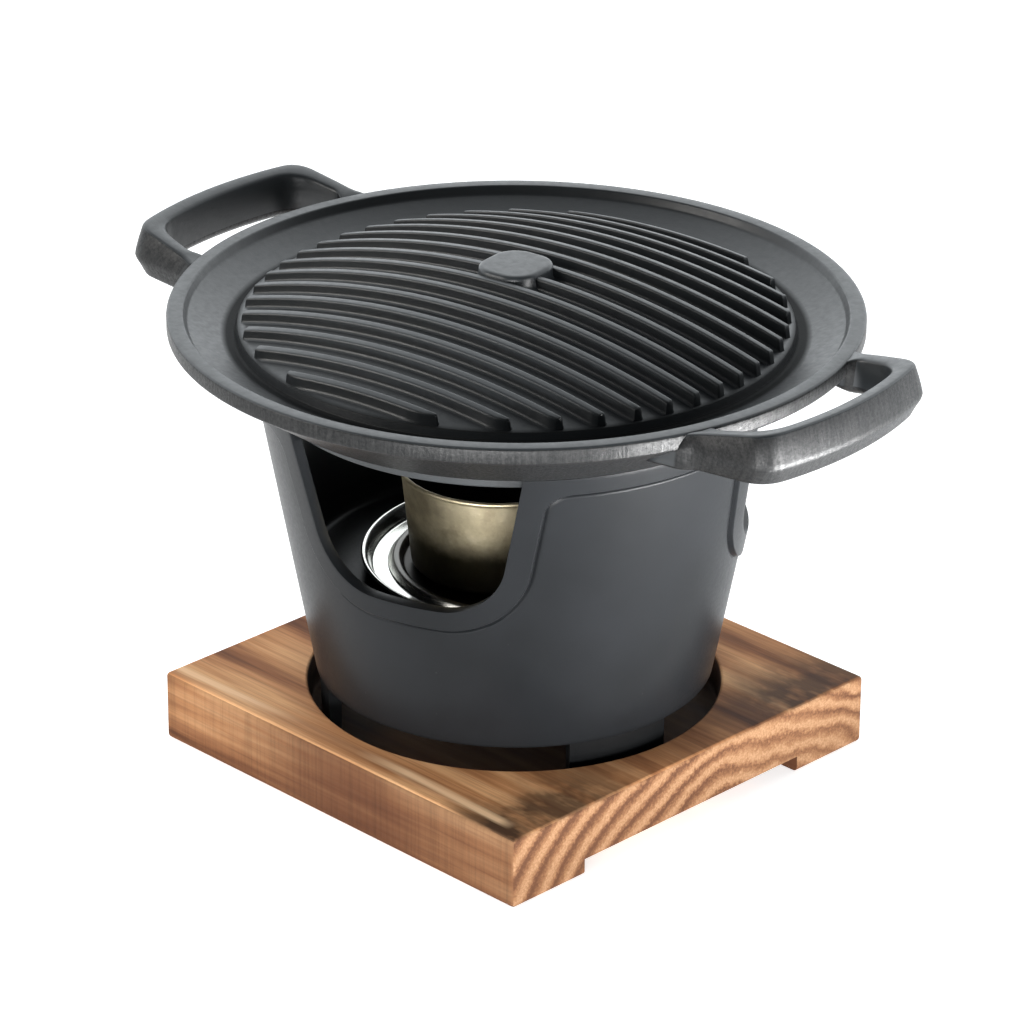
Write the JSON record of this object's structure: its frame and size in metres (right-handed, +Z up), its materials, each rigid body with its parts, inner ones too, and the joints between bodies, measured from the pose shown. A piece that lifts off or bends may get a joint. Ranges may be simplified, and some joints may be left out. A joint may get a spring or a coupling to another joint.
{
  "type": "hibachi grill",
  "caption": "Tabletop hibachi grill: ribbed round pan with bow handles on a windowed conical stove, over a fuel cup in a tray, on a square wood base.",
  "frame": {"origin": "centre of the wood base's underside", "axes": "+X along the wood grain and close to the line through the pan's two handles, +Z up, one stove window faces -Y"},
  "size_m": [0.2484, 0.2, 0.1525],
  "materials": {
    "charred_wood": "scorched and waxed softwood, long grain along X",
    "coated_casting": "matte charcoal coating on cast aluminium",
    "polished_steel": "polished stainless sheet",
    "champagne_metal": "satin champagne lacquer on tin plate",
    "nonstick_casting": "dark grey non-stick coating on cast aluminium, rough cast underneath"
  },
  "bodies": {
    "base": {"wood_base": "charred_wood"},
    "stove": {"stove_body": "coated_casting"},
    "tray": {"burner_tray": "polished_steel"},
    "cup": {"fuel_cup": "champagne_metal"},
    "pan": {"grill_pan": "nonstick_casting"}
  },
  "joints": [
    {"name": "stove_lift", "type": "slide", "parent": "base", "child": "stove", "axis": [0, 0, 1], "range_m": [0, 0.05]},
    {"name": "pan_lift", "type": "slide", "parent": "stove", "child": "pan", "axis": [0, 0, 1], "range_m": [0, 0.1]},
    {"name": "tray_lift", "type": "slide", "parent": "stove", "child": "tray", "axis": [0, 0, 1], "range_m": [0, 0.024]},
    {"name": "cup_lift", "type": "slide", "parent": "tray", "child": "cup", "axis": [0, 0, 1], "range_m": [0, 0.024]}
  ]
}
